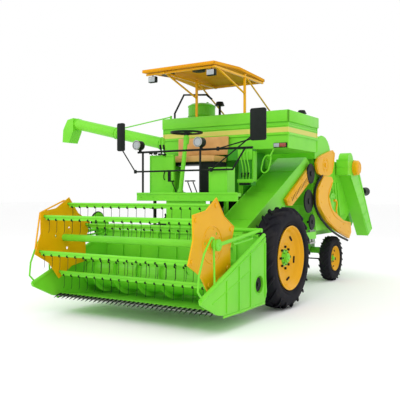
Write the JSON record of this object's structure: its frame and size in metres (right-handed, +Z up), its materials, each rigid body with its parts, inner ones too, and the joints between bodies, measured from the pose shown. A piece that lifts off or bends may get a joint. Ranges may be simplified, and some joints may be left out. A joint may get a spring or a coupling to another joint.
{
  "type": "combine harvester",
  "caption": "Compact self-propelled combine harvester with a pickup reel header, an inclined feeder beside the platform, an open grain tank, a swinging unloading auger and a flat canopy.",
  "frame": {"origin": "middle of the bounding box on the ground", "axes": "front towards -Y, the machine's left towards +X, +Z up"},
  "size_m": [5.49, 7.6038, 3.81],
  "materials": {
    "green": "satin lime green paint",
    "dark_green": "darker green paint",
    "amber": "amber paint",
    "black": "black paint",
    "tyre": "matte",
    "steel": "worn",
    "tan": "tan vinyl"
  },
  "bodies": {
    "chassis": {"air_drum": "green", "belt_guard": "amber", "canopy_frame": "amber", "canopy_roof": "amber", "chassis_frame": "green", "control_console": "green", "drive_cover": "amber", "engine_block": "black", "exhaust_pipe": "black", "front_axle": "dark_green", "front_panel": "green", "grain_elevator": "green", "grain_tank": "green", "ladder": "black", "mirror_left": "black", "mirror_right": "black", "platform_floor": "green", "platform_railing": "black", "rear_axle": "green", "seat_backrest": "tan", "seat_base": "black", "seat_cushion": "tan", "service_housing": "dark_green", "steering_wheel": "black", "straw_hood": "green", "thresher_body": "green", "thresher_hood": "green", "valve_box": "green"},
    "front_left_wheel": {"front_left_tyre": "tyre", "front_left_rim": "amber"},
    "front_right_wheel": {"front_right_tyre": "tyre", "front_right_rim": "amber"},
    "rear_left_wheel": {"rear_left_tyre": "tyre", "rear_left_rim": "amber"},
    "rear_right_wheel": {"rear_right_tyre": "tyre", "rear_right_rim": "amber"},
    "steering_knuckle_left": {"knuckle_left": "black"},
    "steering_knuckle_right": {"knuckle_right": "black"},
    "steering_rod": {"tie_rod": "black"},
    "header": {"feeder_house": "green", "header_table": "green", "cutterbar": "steel", "divider_left": "green", "divider_right": "green"},
    "auger": {"header_auger": "green"},
    "reel_frame": {"reel_arms": "green"},
    "reel": {"reel_shaft": "green", "reel_plate_left": "amber", "reel_plate_right": "amber"},
    "unloader": {"unloading_auger": "green"},
    "barrel_left": {"lift_barrel_left": "black"},
    "barrel_right": {"lift_barrel_right": "black"},
    "ram_left": {"lift_rod_left": "steel"},
    "ram_right": {"lift_rod_right": "steel"},
    "bat_1": {"reel_bat_1": "green"},
    "bat_2": {"reel_bat_2": "green"},
    "bat_3": {"reel_bat_3": "green"},
    "bat_4": {"reel_bat_4": "green"},
    "bat_5": {"reel_bat_5": "green"},
    "bat_6": {"reel_bat_6": "green"}
  },
  "joints": [
    {"name": "front_left_spin", "type": "hinge", "parent": "chassis", "child": "front_left_wheel", "pos_m": [2.565, -1.1781, 0.775], "axis": [1, 0, 0], "continuous": true},
    {"name": "front_right_spin", "type": "hinge", "parent": "chassis", "child": "front_right_wheel", "pos_m": [0.785, -1.1781, 0.775], "axis": [1, 0, 0], "continuous": true},
    {"name": "steer_left", "type": "hinge", "parent": "chassis", "child": "steering_knuckle_left", "pos_m": [1.985, 2.1219, 0.45], "axis": [0, 0, 1], "range_deg": [-28, 28]},
    {"name": "rear_left_spin", "type": "hinge", "parent": "steering_knuckle_left", "child": "rear_left_wheel", "pos_m": [2.165, 2.1219, 0.45], "axis": [1, 0, 0], "continuous": true},
    {"name": "steer_right", "type": "hinge", "parent": "chassis", "child": "steering_knuckle_right", "pos_m": [1.365, 2.1219, 0.45], "axis": [0, 0, 1], "range_deg": [-28, 28]},
    {"name": "rear_right_spin", "type": "hinge", "parent": "steering_knuckle_right", "child": "rear_right_wheel", "pos_m": [1.185, 2.1219, 0.45], "axis": [1, 0, 0], "continuous": true},
    {"name": "steering_rod_slide", "type": "slide", "parent": "chassis", "child": "steering_rod", "axis": [1, 0, 0], "range_m": [-0.08, 0.08]},
    {"name": "header_lift", "type": "hinge", "parent": "chassis", "child": "header", "pos_m": [1.675, 0.5719, 2.25], "axis": [-1, 0, 0], "range_deg": [-2, 6]},
    {"name": "reel_lift", "type": "hinge", "parent": "header", "child": "reel_frame", "pos_m": [1.675, -2.0631, 1.235], "axis": [-1, 0, 0], "range_deg": [-4, 16]},
    {"name": "reel_spin", "type": "hinge", "parent": "reel_frame", "child": "reel", "pos_m": [1.275, -3.2381, 1.11], "axis": [1, 0, 0], "continuous": true},
    {"name": "bat_1_feather", "type": "hinge", "parent": "reel", "child": "bat_1", "pos_m": [1.275, -3.1513, 1.6024], "axis": [1, 0, 0], "continuous": true},
    {"name": "bat_2_feather", "type": "hinge", "parent": "reel", "child": "bat_2", "pos_m": [1.275, -3.6211, 1.4314], "axis": [1, 0, 0], "continuous": true},
    {"name": "bat_3_feather", "type": "hinge", "parent": "reel", "child": "bat_3", "pos_m": [1.275, -3.7079, 0.939], "axis": [1, 0, 0], "continuous": true},
    {"name": "bat_4_feather", "type": "hinge", "parent": "reel", "child": "bat_4", "pos_m": [1.275, -3.3249, 0.6176], "axis": [1, 0, 0], "continuous": true},
    {"name": "bat_5_feather", "type": "hinge", "parent": "reel", "child": "bat_5", "pos_m": [1.275, -2.8551, 0.7886], "axis": [1, 0, 0], "continuous": true},
    {"name": "bat_6_feather", "type": "hinge", "parent": "reel", "child": "bat_6", "pos_m": [1.275, -2.7683, 1.281], "axis": [1, 0, 0], "continuous": true},
    {"name": "header_auger_spin", "type": "hinge", "parent": "header", "child": "auger", "pos_m": [1.275, -2.5181, 0.5], "axis": [1, 0, 0], "continuous": true},
    {"name": "unloader_swing", "type": "hinge", "parent": "chassis", "child": "unloader", "pos_m": [-0.065, -0.3781, 2.66], "axis": [0, 0, 1], "range_deg": [-90, 0]},
    {"name": "barrel_left_tilt", "type": "hinge", "parent": "chassis", "child": "barrel_left", "pos_m": [2.095, -0.2281, 1], "axis": [1, 0, 0], "range_deg": [-12, 12]},
    {"name": "ram_left_slide", "type": "slide", "parent": "barrel_left", "child": "ram_left", "axis": [0, -0.9988, -0.0496], "range_m": [-0.12, 0.3]},
    {"name": "barrel_right_tilt", "type": "hinge", "parent": "chassis", "child": "barrel_right", "pos_m": [1.875, -0.2281, 1], "axis": [1, 0, 0], "range_deg": [-12, 12]},
    {"name": "ram_right_slide", "type": "slide", "parent": "barrel_right", "child": "ram_right", "axis": [0, -0.9988, -0.0496], "range_m": [-0.12, 0.3]}
  ],
  "couplings": [
    {"joint": "steer_right", "follows": "steer_left", "ratio": 1},
    {"joint": "steering_rod_slide", "follows": "steer_left", "m_per_rad": -0.157},
    {"joint": "bat_1_feather", "follows": "reel_spin", "ratio": -1},
    {"joint": "bat_2_feather", "follows": "reel_spin", "ratio": -1},
    {"joint": "bat_3_feather", "follows": "reel_spin", "ratio": -1},
    {"joint": "bat_4_feather", "follows": "reel_spin", "ratio": -1},
    {"joint": "bat_5_feather", "follows": "reel_spin", "ratio": -1},
    {"joint": "bat_6_feather", "follows": "reel_spin", "ratio": -1},
    {"joint": "barrel_left_tilt", "follows": "header_lift", "ratio": -1.587},
    {"joint": "ram_left_slide", "follows": "header_lift", "m_per_rad": 1.2517},
    {"joint": "barrel_right_tilt", "follows": "header_lift", "ratio": -1.587},
    {"joint": "ram_right_slide", "follows": "header_lift", "m_per_rad": 1.2517}
  ]
}
